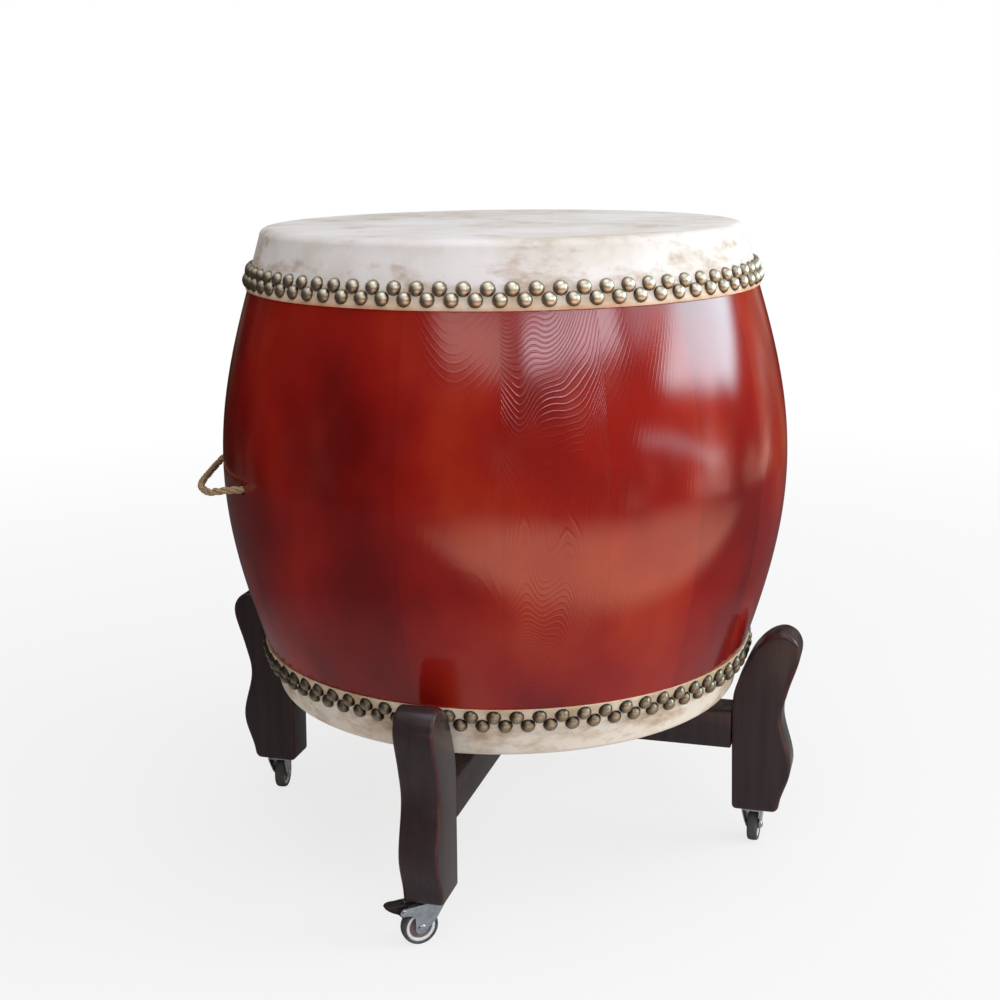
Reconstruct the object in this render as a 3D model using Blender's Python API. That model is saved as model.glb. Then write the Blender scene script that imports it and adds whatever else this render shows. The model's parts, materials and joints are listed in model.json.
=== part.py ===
"""War drum on a rolling stand: a staved barrel with two tacked hide heads, one rope handle,
four curved legs on a halved cross of beams, and four swivelling casters, two with brakes.

Metres, +Z up. The origin is on the floor under the middle of the drum. The legs stand along
+X, -Y, -X and +Y, called right, front, left and back. Heights on the drum are measured from
its lower head, heights on a caster from the floor.
"""
import math

import bmesh
import bpy
from mathutils import Matrix, Vector

MM = 0.001
GAP = 0.3 * MM

# Drum
DRUM_HEIGHT = 0.500
BARREL_END_RADIUS = 0.2514
BARREL_BELLY_RADIUS = 0.3053
BARREL_FULLNESS = -0.0184
STAVE_COUNT = 19
FACETS_PER_STAVE = 4
STAVE_THICKNESS = 0.018
STAVE_CHAMFER = 0.006
HIDE_THICKNESS = 0.002
HEAD_FACE_RADIUS = 0.2445
HEAD_BEND = 8.5 * MM
HEAD_ROUND = 2.8 * MM
UPPER_SKIRT = 0.0625
LOWER_SKIRT = 0.0550

# Tacks: two staggered rows on each head, this far from the head's face
TACKS_PER_ROW = STAVE_COUNT * FACETS_PER_STAVE
TACK_STEP = math.tau / TACKS_PER_ROW
TACK_PHASE = math.radians(3.40)
TACK_RADIUS = 7.2 * MM
TACK_HEIGHT = 5.0 * MM
TACK_SIDES = 5
UPPER_TACK_ROWS = (0.0422, 0.0528)
LOWER_TACK_ROWS = (0.0372, 0.0470)

# Rope handle: azimuth of its middle, half the angle between its two holes
HANDLE_AZIMUTH = math.radians(207.0)
HANDLE_HALF_ANGLE = math.radians(19.0)
HANDLE_HEIGHT = 0.248
ROPE_RADIUS = 4.0 * MM
ROPE_HOLE_RADIUS = 5.5 * MM
KNOT_RADIUS = 11.0 * MM

# Stand
CASTER_HEIGHT = 0.0485
LEG_DEPTH_BELOW_DRUM = 0.135
DRUM_BASE = CASTER_HEIGHT + LEG_DEPTH_BELOW_DRUM
LEG_THICKNESS = 0.041
LEG_INNER_FOOT = 0.2600
LEG_OUTER_FOOT = 0.3110
LEG_INNER_TOP = (0.2575, -0.0180)
LEG_INNER_ROUND = 0.003
LEG_OUTER_ROUND = 0.0075
BEAM_THICKNESS = 0.040
BEAM_TOP = -0.022
BEAM_DEPTH = 0.042
TENON_LENGTH = 0.024
TENON_THICKNESS = 0.014
TENON_DEPTH = 0.028

# Casters, measured from the floor and from the swivel axis towards the wheel
TRAIL = 0.013
WHEEL_RADIUS = 0.0188
TYRE_WIDTH = 0.0115
TYRE_FACETS = 18
CORE_RADIUS = 0.0155
RIM_INNER_RADIUS = 0.0117
HUB_RADIUS = 0.0055
WEB_RECESS = 0.0018
PLATE_TOP = 0.046
PLATE_THICKNESS = 0.002
CHEEK_THICKNESS = 0.0014
CHEEK_SLOPE = 0.115
CHEEK_FOOT_WIDTH = 0.0074
CHEEK_FOOT_HEIGHT = 0.0135
AXLE_RADIUS = 0.0022
AXLE_HEAD_RADIUS = 0.0038
RIVET_RISE = 0.0012
STEM_RADIUS = 0.0040
STEM_REACH = 0.025
COLLAR_RADIUS = 0.0090
BRAKE_PIN_X = 0.0315
BRAKE_PIN_Z = 0.0408
BRAKE_PIN_RADIUS = 0.0016
BRAKE_PIN_HEAD_RADIUS = 0.0028
LEVER_HALF_WIDTH = 0.0068
BRAKE_TRAVEL = math.radians(20.0)

# Side of the stand, azimuth of its leg, radius of its caster's swivel from the drum's axis,
# heading of its wheel, whether it has a brake
CORNERS = (
    ("right", 0.0, 0.2815, math.radians(88.0), False),
    ("front", math.radians(-90.0), 0.2865, math.radians(-139.0), True),
    ("left", math.radians(180.0), 0.2890, math.radians(98.0), False),
    ("back", math.radians(90.0), 0.2865, math.radians(41.0), True),
)


def clear_scene():
    for old in list(bpy.data.objects):
        bpy.data.objects.remove(old, do_unlink=True)


def linear(hex_colour):
    channels = [int(hex_colour[i:i + 2], 16) / 255 for i in (0, 2, 4)]
    return [c / 12.92 if c <= 0.04045 else ((c + 0.055) / 1.055) ** 2.4 for c in channels] + [1.0]


def material(name, hex_colour, roughness, metallic=0.0):
    found = bpy.data.materials.get(name)
    if found:
        return found
    made = bpy.data.materials.new(name)
    made.use_nodes = True
    shader = made.node_tree.nodes["Principled BSDF"]
    shader.inputs["Base Color"].default_value = linear(hex_colour)
    shader.inputs["Roughness"].default_value = roughness
    shader.inputs["Metallic"].default_value = metallic
    return made


def red_lacquer():
    return material("red_lacquer", "8E2218", 0.22)


def rawhide():
    return material("rawhide", "E2DACB", 0.60)


def jute():
    return material("jute", "A98C66", 0.90)


def dark_lacquer():
    return material("dark_lacquer", "3A2224", 0.35)


def zinc_plate():
    return material("zinc_plate", "B9BEC1", 0.32, 1.0)


def white_plastic():
    return material("white_plastic", "E9E9E6", 0.40)


def grey_rubber():
    return material("grey_rubber", "4A4A49", 0.80)


def black_plastic():
    return material("black_plastic", "1B191A", 0.45)


def empty(name, location, turn=0.0, parent=None):
    marker = bpy.data.objects.new(name, None)
    bpy.context.collection.objects.link(marker)
    marker.empty_display_size = 0.02
    marker.location = location
    marker.rotation_euler = (0.0, 0.0, turn)
    marker.parent = parent
    return marker


def make_object(name, shape, finish=None, parent=None, location=(0, 0, 0), sharp=35.0):
    """Turns a bmesh into a named object with outward faces."""
    bmesh.ops.recalc_face_normals(shape, faces=shape.faces)
    mesh = bpy.data.meshes.new(name)
    shape.to_mesh(mesh)
    shape.free()
    mesh.shade_smooth()
    mesh.set_sharp_from_angle(angle=math.radians(sharp))
    made = bpy.data.objects.new(name, mesh)
    bpy.context.collection.objects.link(made)
    made.location = location
    made.parent = parent
    if finish:
        mesh.materials.append(finish)
    return made


def combine(target, other, operation):
    """Applies an exact Boolean of the two objects to the target and removes the other."""
    bpy.context.view_layer.update()
    cut = target.modifiers.new(operation.lower(), "BOOLEAN")
    cut.operation = operation
    cut.solver = "EXACT"
    cut.object = other
    bpy.context.view_layer.objects.active = target
    bpy.ops.object.modifier_apply(modifier=cut.name)
    bpy.data.objects.remove(other, do_unlink=True)


def turned(profile, segments, phase=0.0, closed=False):
    """Revolves (radius, height) points about Z. A point at radius zero becomes a pole."""
    shape = bmesh.new()
    rings = []
    for radius, height in profile:
        if radius < 1e-9:
            rings.append([shape.verts.new((0.0, 0.0, height))])
            continue
        angles = [phase + math.tau * i / segments for i in range(segments)]
        rings.append([shape.verts.new((radius * math.cos(a), radius * math.sin(a), height))
                      for a in angles])
    pairs = list(zip(rings, rings[1:]))
    if closed:
        pairs.append((rings[-1], rings[0]))
    for low, high in pairs:
        for i in range(segments):
            j = (i + 1) % segments
            if len(low) == 1:
                shape.faces.new((low[0], high[j], high[i]))
            elif len(high) == 1:
                shape.faces.new((low[i], low[j], high[0]))
            else:
                shape.faces.new((low[i], low[j], high[j], high[i]))
    return shape


def capped(profile, segments, phase=0.0):
    """Revolves an open profile and closes its two ends with flat faces."""
    shape = turned(profile, segments, phase)
    shape.verts.ensure_lookup_table()
    shape.faces.new([shape.verts[i] for i in range(segments)])
    last = len(shape.verts) - segments
    shape.faces.new([shape.verts[last + i] for i in reversed(range(segments))])
    return shape


def extruded(outline, half_width):
    """Extrudes a closed outline of (x, z) points across Y; half_width may depend on z."""
    shape = bmesh.new()
    near = [shape.verts.new((x, -half_width(z), z)) for x, z in outline]
    far = [shape.verts.new((x, half_width(z), z)) for x, z in outline]
    shape.faces.new(near)
    shape.faces.new(list(reversed(far)))
    for i in range(len(outline)):
        j = (i + 1) % len(outline)
        shape.faces.new((near[j], near[i], far[i], far[j]))
    return shape


def box(x_range, y_range, z_range):
    shape = bmesh.new()
    size = [b - a for a, b in (x_range, y_range, z_range)]
    centre = [(a + b) / 2 for a, b in (x_range, y_range, z_range)]
    bmesh.ops.create_cube(shape, size=1.0, matrix=Matrix.Translation(centre) @ Matrix.Diagonal((*size, 1.0)))
    return shape


def smooth_points(points, steps, closed=False):
    """Catmull-Rom curve through the points, with this many steps between neighbours."""
    knots = [Vector(p) for p in points]
    count = len(knots)
    result = []
    for i in range(count if closed else count - 1):
        before = knots[(i - 1) % count] if closed or i > 0 else 2 * knots[0] - knots[1]
        start, end = knots[i], knots[(i + 1) % count]
        after = knots[(i + 2) % count] if closed or i < count - 2 else 2 * knots[-1] - knots[-2]
        for step in range(steps):
            t = step / steps
            result.append(0.5 * (2 * start + (end - before) * t
                                 + (2 * before - 5 * start + 4 * end - after) * t ** 2
                                 + (3 * start - before - 3 * end + after) * t ** 3))
    if not closed:
        result.append(knots[-1])
    return result


def arc(centre, radius, start, end, steps):
    """Points on a circle in degrees, both ends included."""
    angles = [math.radians(start + (end - start) * i / steps) for i in range(steps + 1)]
    return [(centre[0] + radius * math.cos(a), centre[1] + radius * math.sin(a)) for a in angles]


def barrel_radius(height):
    """Outer radius of the wood at a height above the lower head."""
    offset = (height - DRUM_HEIGHT / 2) / (DRUM_HEIGHT / 2)
    swell = 1.0 - offset ** 2
    return (BARREL_END_RADIUS + (BARREL_BELLY_RADIUS - BARREL_END_RADIUS) * swell
            + BARREL_FULLNESS * swell * (1.0 - swell))


def stave_rows():
    """(height, outer radius, inner radius) of a stave's cross-sections, bottom to top."""
    end = HIDE_THICKNESS + GAP
    shoulder = end + STAVE_CHAMFER
    heights = [shoulder, LOWER_SKIRT, 0.12, 0.185, HANDLE_HEIGHT, 0.315, 0.38,
               DRUM_HEIGHT - UPPER_SKIRT, DRUM_HEIGHT - shoulder]
    rows = [(z, barrel_radius(z), barrel_radius(z) - STAVE_THICKNESS) for z in heights]
    foot = (end, rows[0][1] - STAVE_CHAMFER, rows[0][2])
    crown = (DRUM_HEIGHT - end, rows[-1][1] - STAVE_CHAMFER, rows[-1][2])
    return [foot] + rows + [crown]


def make_stave(index, drum):
    """One bent board: four outer facets, one inner, straight radial edges."""
    middle = TACK_PHASE - TACK_STEP / 2 + (index + 0.5) * math.tau / STAVE_COUNT
    half = math.pi / STAVE_COUNT
    shape = bmesh.new()
    sections = []
    for height, outer, inner in stave_rows():
        section = []
        for radius, facets in ((outer, FACETS_PER_STAVE), (inner, 1)):
            reach = half - GAP / 2 / radius
            angles = [middle - reach + 2 * reach * i / facets for i in range(facets + 1)]
            if radius == inner:
                angles.reverse()
            section += [shape.verts.new((radius * math.cos(a), radius * math.sin(a), height))
                        for a in angles]
        sections.append(section)
    count = len(sections[0])
    for low, high in zip(sections, sections[1:]):
        for i in range(count):
            j = (i + 1) % count
            shape.faces.new((low[i], low[j], high[j], high[i]))
    shape.faces.new(list(reversed(sections[0])))
    shape.faces.new(sections[-1])
    return make_object(f"stave_{index + 1:02d}", shape, red_lacquer(), drum, sharp=50.0)


def hide_profile(skirt, upper):
    """Closed (radius, height) section of a hide cap, drawn for the lower head."""

    def wood(depth):
        return barrel_radius(DRUM_HEIGHT - depth if upper else depth)

    outside = HIDE_THICKNESS + GAP
    shoulder = outside + STAVE_CHAMFER
    section = [
        (0.0, 0.0),
        (HEAD_FACE_RADIUS, 0.0),
        (wood(shoulder) + outside - HEAD_ROUND, HEAD_ROUND),
        (wood(shoulder) + outside, HEAD_BEND),
        (wood(skirt) + outside, skirt),
        (wood(skirt) + GAP, skirt),
        (wood(shoulder) + GAP, shoulder),
        (wood(shoulder) - STAVE_CHAMFER + GAP, HIDE_THICKNESS),
        (0.0, HIDE_THICKNESS),
    ]
    return section


def tack_domes(rows, upper):
    """The heads of both rows of tacks, each a low cone with its edge sunk a little into the hide."""
    shape = bmesh.new()
    sink = 1.0 * MM
    for number, depth in enumerate(rows):
        height = DRUM_HEIGHT - depth if upper else depth
        phase = TACK_PHASE - (TACK_STEP / 2 if (number == 1) == upper else 0.0)
        surface = barrel_radius(height) + HIDE_THICKNESS + GAP
        lean = math.atan2(barrel_radius(height + 0.01) - barrel_radius(height - 0.01), 0.02)
        for i in range(TACKS_PER_ROW):
            azimuth = phase + i * TACK_STEP
            place = (Matrix.Rotation(azimuth, 4, "Z") @ Matrix.Translation((surface, 0.0, height))
                     @ Matrix.Rotation(math.pi / 2 + lean, 4, "Y"))
            turns = [math.tau * k / TACK_SIDES for k in range(TACK_SIDES)]
            edge = [place @ Vector((TACK_RADIUS * math.cos(a), TACK_RADIUS * math.sin(a), -sink))
                    for a in turns]
            edge = [shape.verts.new(p) for p in edge]
            tip = shape.verts.new(place @ Vector((0.0, 0.0, TACK_HEIGHT)))
            shape.faces.new(list(reversed(edge)))
            for k in range(TACK_SIDES):
                shape.faces.new((edge[k - 1], edge[k], tip))
    return shape


def make_head(name, skirt, tack_rows, upper, drum):
    """A rawhide cap stretched over the barrel's end, with its tacks standing in it."""
    section = hide_profile(skirt, upper)
    if upper:
        section = [(radius, DRUM_HEIGHT - depth) for radius, depth in section]
    shape = turned(section, TACKS_PER_ROW, TACK_PHASE - TACK_STEP / 2)
    head = make_object(name, shape, rawhide(), drum)
    combine(head, make_object("tacks", tack_domes(tack_rows, upper), parent=drum), "UNION")
    return head


def hole_azimuths():
    return {"front": HANDLE_AZIMUTH + HANDLE_HALF_ANGLE, "rear": HANDLE_AZIMUTH - HANDLE_HALF_ANGLE}


def knot_face():
    """Radius of the knots' flat faces, clear of the staves' inner facets and their bend."""
    wall = barrel_radius(HANDLE_HEIGHT) - STAVE_THICKNESS
    return wall * math.cos(math.pi / STAVE_COUNT) - 4 * GAP


def bore_rope_holes(staves, drum):
    """Bores a hole for the rope through whichever stave each end passes."""
    for azimuth in hole_azimuths().values():
        start = TACK_PHASE - TACK_STEP / 2
        index = int(((azimuth - start) % math.tau) / (math.tau / STAVE_COUNT))
        drill = capped([(ROPE_HOLE_RADIUS, 0.26), (ROPE_HOLE_RADIUS, 0.33)], 10)
        aim = (Matrix.Translation((0, 0, HANDLE_HEIGHT)) @ Matrix.Rotation(azimuth, 4, "Z")
               @ Matrix.Rotation(math.pi / 2, 4, "Y"))
        bmesh.ops.transform(drill, matrix=aim, verts=drill.verts)
        combine(staves[index], make_object("drill", drill, parent=drum), "DIFFERENCE")


def rope_route():
    """Handle's centre line from knot to knot, as radius, azimuth from the middle and height."""
    inside = knot_face() + GAP
    shell = barrel_radius(HANDLE_HEIGHT)
    rise = (0.0114, 0.0218, 0.0285, 0.0281, 0.0223, 0.0160, 0.0133, 0.0177, 0.0116)
    turn = (0.961, 0.906, 0.777, 0.487, 0.168, -0.166, -0.480, -0.796, -0.948)
    fall = (0.0, 0.0010, 0.0036, 0.0048, 0.0064, 0.0072, 0.0076, 0.0122, 0.0054)
    hole = (inside, inside + 0.009, shell + 0.001)
    reach = hole + tuple(shell + height for height in rise) + hole[::-1]
    share = (1.0,) * 3 + turn + (-1.0,) * 3
    droop = (0.0,) * 3 + fall + (0.0,) * 3
    points = []
    for radius, part, sag in zip(reach, share, droop):
        azimuth = HANDLE_AZIMUTH + part * HANDLE_HALF_ANGLE
        points.append((radius * math.cos(azimuth), radius * math.sin(azimuth), HANDLE_HEIGHT - sag))
    return smooth_points(points, 2)


def make_rope(drum):
    route = rope_route()
    curve = bpy.data.curves.new("handle_rope", "CURVE")
    curve.dimensions = "3D"
    curve.bevel_depth = ROPE_RADIUS
    curve.bevel_resolution = 2
    curve.use_fill_caps = True
    spline = curve.splines.new("POLY")
    spline.points.add(len(route) - 1)
    for point, place in zip(spline.points, route):
        point.co = (*place, 1.0)
    curve.materials.append(jute())
    rope = bpy.data.objects.new("handle_rope", curve)
    bpy.context.collection.objects.link(rope)
    rope.parent = drum
    return rope


def make_knot(name, azimuth, drum):
    """A stopper knot, flat where the wood's inner face holds it back."""
    lobes = [(6.5 * MM, 0.0), (9.5 * MM, 3.0 * MM), (KNOT_RADIUS, 7.5 * MM), (8.0 * MM, 12.0 * MM),
             (9.0 * MM, 15.0 * MM), (4.5 * MM, 19.0 * MM)]
    shape = capped(lobes, 10)
    aim = (Matrix.Rotation(azimuth, 4, "Z") @ Matrix.Translation((knot_face(), 0, HANDLE_HEIGHT))
           @ Matrix.Rotation(-math.pi / 2, 4, "Y"))
    bmesh.ops.transform(shape, matrix=aim, verts=shape.verts)
    return make_object(name, shape, jute(), drum)


def leg_outline():
    """Closed outline of a leg, radius from the drum's axis against height over the floor."""
    curved = [
        (0.3125, -0.1200), (0.3227, -0.0800), (0.3112, -0.0290), (0.3170, 0.0050),
        (0.3286, 0.0440), (0.3245, 0.0625), (0.3110, 0.0705), (0.2950, 0.0655),
        (0.2800, 0.0500), (0.2690, 0.0280), (0.2600, 0.0030), LEG_INNER_TOP,
    ]
    outline = [(p.x, p.y) for p in smooth_points(curved, 3)]
    foot = -LEG_DEPTH_BELOW_DRUM
    inner, outer = LEG_INNER_ROUND, LEG_OUTER_ROUND
    inner_foot = arc((LEG_INNER_FOOT + inner, foot + inner), inner, 180, 270, 2)
    outer_foot = arc((LEG_OUTER_FOOT - outer, foot + outer), outer, 270, 350, 3)
    outline += inner_foot + outer_foot
    return [(x, z + DRUM_BASE) for x, z in outline]


def beam_heights():
    top = DRUM_BASE + BEAM_TOP
    return top - BEAM_DEPTH, top


def tenon_heights():
    bottom, top = beam_heights()
    middle = (bottom + top) / 2
    return middle - TENON_DEPTH / 2, middle + TENON_DEPTH / 2


def leg_inner_face(height):
    """Radius of the straight inner edge of a leg at a height over the floor."""
    low = CASTER_HEIGHT + LEG_INNER_ROUND
    top_radius, high = LEG_INNER_TOP[0], DRUM_BASE + LEG_INNER_TOP[1]
    return LEG_INNER_FOOT + (top_radius - LEG_INNER_FOOT) * (height - low) / (high - low)


def make_leg(side, azimuth, swivel_radius):
    """A curved plank leg with a mortise for its beam and a socket for its caster's stem."""
    leg = make_object(f"{side}_leg", extruded(leg_outline(), lambda z: LEG_THICKNESS / 2),
                      dark_lacquer())
    low, high = tenon_heights()
    seat = leg_inner_face(low) - 0.004
    depth = leg_inner_face(low) + TENON_LENGTH + GAP
    half = TENON_THICKNESS / 2 + GAP
    mortise = make_object("mortise", box((seat, depth), (-half, half), (low - GAP, high + GAP)))
    combine(leg, mortise, "DIFFERENCE")
    bore = STEM_RADIUS + 0.6 * MM
    socket = capped([(bore, CASTER_HEIGHT - 0.01), (bore, CASTER_HEIGHT + STEM_REACH + GAP)], 8)
    combine(leg, make_object("socket", socket, location=(swivel_radius, 0, 0)), "DIFFERENCE")
    leg.rotation_euler = (0.0, 0.0, azimuth)
    return leg


def make_beam(name, azimuth, notch_on_top):
    """A cross beam with a tenon at each end, halved where the two beams cross."""
    low, high = beam_heights()
    reach = leg_inner_face((low + high) / 2) - 2 * GAP
    half = BEAM_THICKNESS / 2
    beam = make_object(name, box((-reach, reach), (-half, half), (low, high)), dark_lacquer())
    tenon_low, tenon_high = tenon_heights()
    tip = leg_inner_face(tenon_low) + TENON_LENGTH
    tongue = make_object("tenon", box((-tip, tip), (-TENON_THICKNESS / 2, TENON_THICKNESS / 2),
                                      (tenon_low, tenon_high)))
    combine(beam, tongue, "UNION")
    middle = (low + high) / 2
    lap = (middle - GAP / 2, high + 0.01) if notch_on_top else (low - 0.01, middle + GAP / 2)
    half_notch = half + GAP
    notch = make_object("lap", box((-half_notch, half_notch), (-0.05, 0.05), lap))
    combine(beam, notch, "DIFFERENCE")
    beam.rotation_euler = (0.0, 0.0, azimuth)
    return beam


def cheek_outline(braked):
    """Side view of a caster's fork: top plate, arms round the axle, and the ear for a brake."""
    axle_end = arc((TRAIL, WHEEL_RADIUS), 0.0062, 0, -165, 5)
    front = [(-0.0006, 0.0262), (-0.0074, 0.0376), (-0.0112, 0.0430), (-0.0112, PLATE_TOP)]
    if braked:
        ear = arc((BRAKE_PIN_X, BRAKE_PIN_Z), 0.0045, 75, -100, 4)
        rear = ear + [(0.0240, 0.0350), (0.0203, 0.0315), (0.0196, 0.0260)]
    else:
        rear = [(0.0115, PLATE_TOP), (0.0158, 0.0435), (0.0185, 0.0370), (0.0196, 0.0260)]
    return front + rear + axle_end


def cheek_half_width(height):
    return CHEEK_FOOT_WIDTH + (height - CHEEK_FOOT_HEIGHT) * CHEEK_SLOPE


def slot_outline():
    """Side view of what is cut out between the cheeks, open below and behind the plate."""
    under = PLATE_TOP - PLATE_THICKNESS
    return [(-0.03, -0.01), (0.05, -0.01), (0.05, 0.06), (0.0165, 0.06), (0.0165, under - 0.0005),
            (0.0110, under), (-0.03, under)]


def across(radius, reach, segments, at):
    """A round pin lying along Y, for axles and the holes they turn in."""
    pin = capped([(radius, -reach), (radius, reach)], segments)
    aim = Matrix.Translation((at[0], 0, at[1])) @ Matrix.Rotation(math.pi / 2, 4, "X")
    bmesh.ops.transform(pin, matrix=aim, verts=pin.verts)
    return pin


def make_fork(side, swivel, braked):
    """Pressed steel fork: plate, two sloping cheeks, holes for stem, axle and brake pin."""
    fork = make_object(f"{side}_caster_fork", extruded(cheek_outline(braked), cheek_half_width),
                       zinc_plate(), swivel)
    slot = extruded(slot_outline(), lambda z: cheek_half_width(z) - CHEEK_THICKNESS)
    combine(fork, make_object("slot", slot, parent=swivel), "DIFFERENCE")
    bore = STEM_RADIUS + 0.7 * MM
    neck = capped([(bore, PLATE_TOP - 3 * PLATE_THICKNESS), (bore, PLATE_TOP + PLATE_THICKNESS)], 8)
    combine(fork, make_object("neck", neck, parent=swivel), "DIFFERENCE")
    holes = [(AXLE_RADIUS + GAP, (TRAIL, WHEEL_RADIUS))]
    if braked:
        holes.append((BRAKE_PIN_RADIUS + GAP, (BRAKE_PIN_X, BRAKE_PIN_Z)))
    for radius, at in holes:
        drill = across(radius + 0.1 * MM, 0.02, 8, at)
        combine(fork, make_object("hole", drill, parent=swivel), "DIFFERENCE")
    return fork


def make_stem(side, azimuth, swivel_radius):
    """Spindle in the leg's socket, its collar, the swivel's neck and the rivet below."""
    under = PLATE_TOP - PLATE_THICKNESS
    rivet = STEM_RADIUS * 1.5
    profile = [
        (rivet, under - PLATE_THICKNESS), (rivet, under - GAP), (STEM_RADIUS, under - GAP),
        (STEM_RADIUS, PLATE_TOP + GAP), (COLLAR_RADIUS, PLATE_TOP + GAP),
        (COLLAR_RADIUS, CASTER_HEIGHT - GAP), (STEM_RADIUS, CASTER_HEIGHT - GAP),
        (STEM_RADIUS, CASTER_HEIGHT + STEM_REACH),
    ]
    place = (swivel_radius * math.cos(azimuth), swivel_radius * math.sin(azimuth), 0.0)
    return make_object(f"{side}_caster_stem", capped(profile, 8), zinc_plate(), location=place)


def make_pin(name, at, shaft, head, parent):
    """A rivet through both cheeks, its heads clear of their sloping faces."""
    face = cheek_half_width(at[1] + head) + GAP
    tip = face + RIVET_RISE
    profile = [(head * 0.7, -tip), (head, -face), (shaft, -face), (shaft, face), (head, face),
               (head * 0.7, tip)]
    pin = capped(profile, 8)
    aim = Matrix.Translation((at[0], 0, at[1])) @ Matrix.Rotation(math.pi / 2, 4, "X")
    bmesh.ops.transform(pin, matrix=aim, verts=pin.verts)
    return make_object(name, pin, zinc_plate(), parent)


def make_wheel(side, hub):
    """White core with a hub, a recessed web and a rim, and the crowned grey tyre round it.

    One of the tyre's facets lies flat on the floor.
    """
    half = TYRE_WIDTH / 2
    web = half - WEB_RECESS
    bore = AXLE_RADIUS + GAP
    core = turned([
        (bore, -half), (HUB_RADIUS, -web), (RIM_INNER_RADIUS, -web), (RIM_INNER_RADIUS, -half),
        (CORE_RADIUS, -half), (CORE_RADIUS, half), (RIM_INNER_RADIUS, half),
        (RIM_INNER_RADIUS, web), (HUB_RADIUS, web), (bore, half),
    ], 12, closed=True)
    stretch = 1 / math.cos(math.pi / TYRE_FACETS)
    shoulder = (WHEEL_RADIUS - 0.0012) * stretch
    flank = half - 0.4 * MM
    tyre = turned([
        (CORE_RADIUS + GAP, -flank), (shoulder, -flank), (WHEEL_RADIUS * stretch, -half / 3),
        (WHEEL_RADIUS * stretch, half / 3), (shoulder, flank), (CORE_RADIUS + GAP, flank),
    ], TYRE_FACETS, phase=-math.pi / 2 + math.pi / TYRE_FACETS, closed=True)
    for name, shape, finish in (("wheel", core, white_plastic()), ("tyre", tyre, grey_rubber())):
        bmesh.ops.rotate(shape, verts=shape.verts, matrix=Matrix.Rotation(math.pi / 2, 3, "X"))
        make_object(f"{side}_caster_{name}", shape, finish, hub)


def lever_outline():
    """Side view of a brake lever about its pin: toe pad outside, cam towards the tyre."""
    drop, back = WHEEL_RADIUS - BRAKE_PIN_Z, TRAIL - BRAKE_PIN_X
    cam = math.atan2(drop, back) + math.tau + BRAKE_TRAVEL
    reach = math.hypot(drop, back) - WHEEL_RADIUS - 2 * GAP
    lobe = [(reach * math.cos(cam + d), reach * math.sin(cam + d)) for d in (-0.2, 0.0, 0.2)]
    pad = [(0.0050, -0.0030), (0.0120, -0.0010), (0.0175, 0.0018), (0.0190, 0.0038),
           (0.0178, 0.0056), (0.0120, 0.0060), (0.0040, 0.0048)]
    heel = arc((0.0, 0.0), 0.0040, 100, 200, 4)
    return pad + heel + lobe


def make_lever(side, brake):
    """Moulded brake lever, waisted at its pin and round at the toe."""
    shape = extruded(lever_outline(), lambda z: LEVER_HALF_WIDTH)
    bore = across(BRAKE_PIN_RADIUS + 0.4 * MM, 0.02, 8, (0.0, 0.0))
    lever = make_object(f"{side}_brake_lever", shape, black_plastic(), brake)
    combine(lever, make_object("bore", bore, parent=brake), "DIFFERENCE")
    return lever


def make_caster(side, azimuth, swivel_radius, heading, braked):
    place = (swivel_radius * math.cos(azimuth), swivel_radius * math.sin(azimuth), 0.0)
    make_stem(side, azimuth, swivel_radius)
    swivel = empty(f"{side}_swivel_axis", place, heading)
    hub = empty(f"{side}_wheel_axis", (TRAIL, 0.0, WHEEL_RADIUS), parent=swivel)
    make_fork(side, swivel, braked)
    make_pin(f"{side}_caster_axle", (TRAIL, WHEEL_RADIUS), AXLE_RADIUS, AXLE_HEAD_RADIUS, swivel)
    make_wheel(side, hub)
    if braked:
        make_pin(f"{side}_brake_pin", (BRAKE_PIN_X, BRAKE_PIN_Z), BRAKE_PIN_RADIUS,
                 BRAKE_PIN_HEAD_RADIUS, swivel)
        brake = empty(f"{side}_brake_axis", (BRAKE_PIN_X, 0.0, BRAKE_PIN_Z), parent=swivel)
        make_lever(side, brake)


def make_drum():
    drum = empty("drum_axis", (0.0, 0.0, DRUM_BASE))
    staves = [make_stave(index, drum) for index in range(STAVE_COUNT)]
    bore_rope_holes(staves, drum)
    make_head("upper_head", UPPER_SKIRT, UPPER_TACK_ROWS, True, drum)
    make_head("lower_head", LOWER_SKIRT, LOWER_TACK_ROWS, False, drum)
    make_rope(drum)
    for name, azimuth in hole_azimuths().items():
        make_knot(f"{name}_rope_knot", azimuth, drum)


def make_stand():
    for side, azimuth, swivel_radius, heading, braked in CORNERS:
        make_leg(side, azimuth, swivel_radius)
        make_caster(side, azimuth, swivel_radius, heading, braked)
    make_beam("side_beam", 0.0, False)
    make_beam("middle_beam", math.pi / 2, True)


def main():
    clear_scene()
    make_drum()
    make_stand()


main()
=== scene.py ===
"""War drum on its wheeled stand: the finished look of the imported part."""

import json
import math

import bpy
from mathutils import Matrix, Vector

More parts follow.
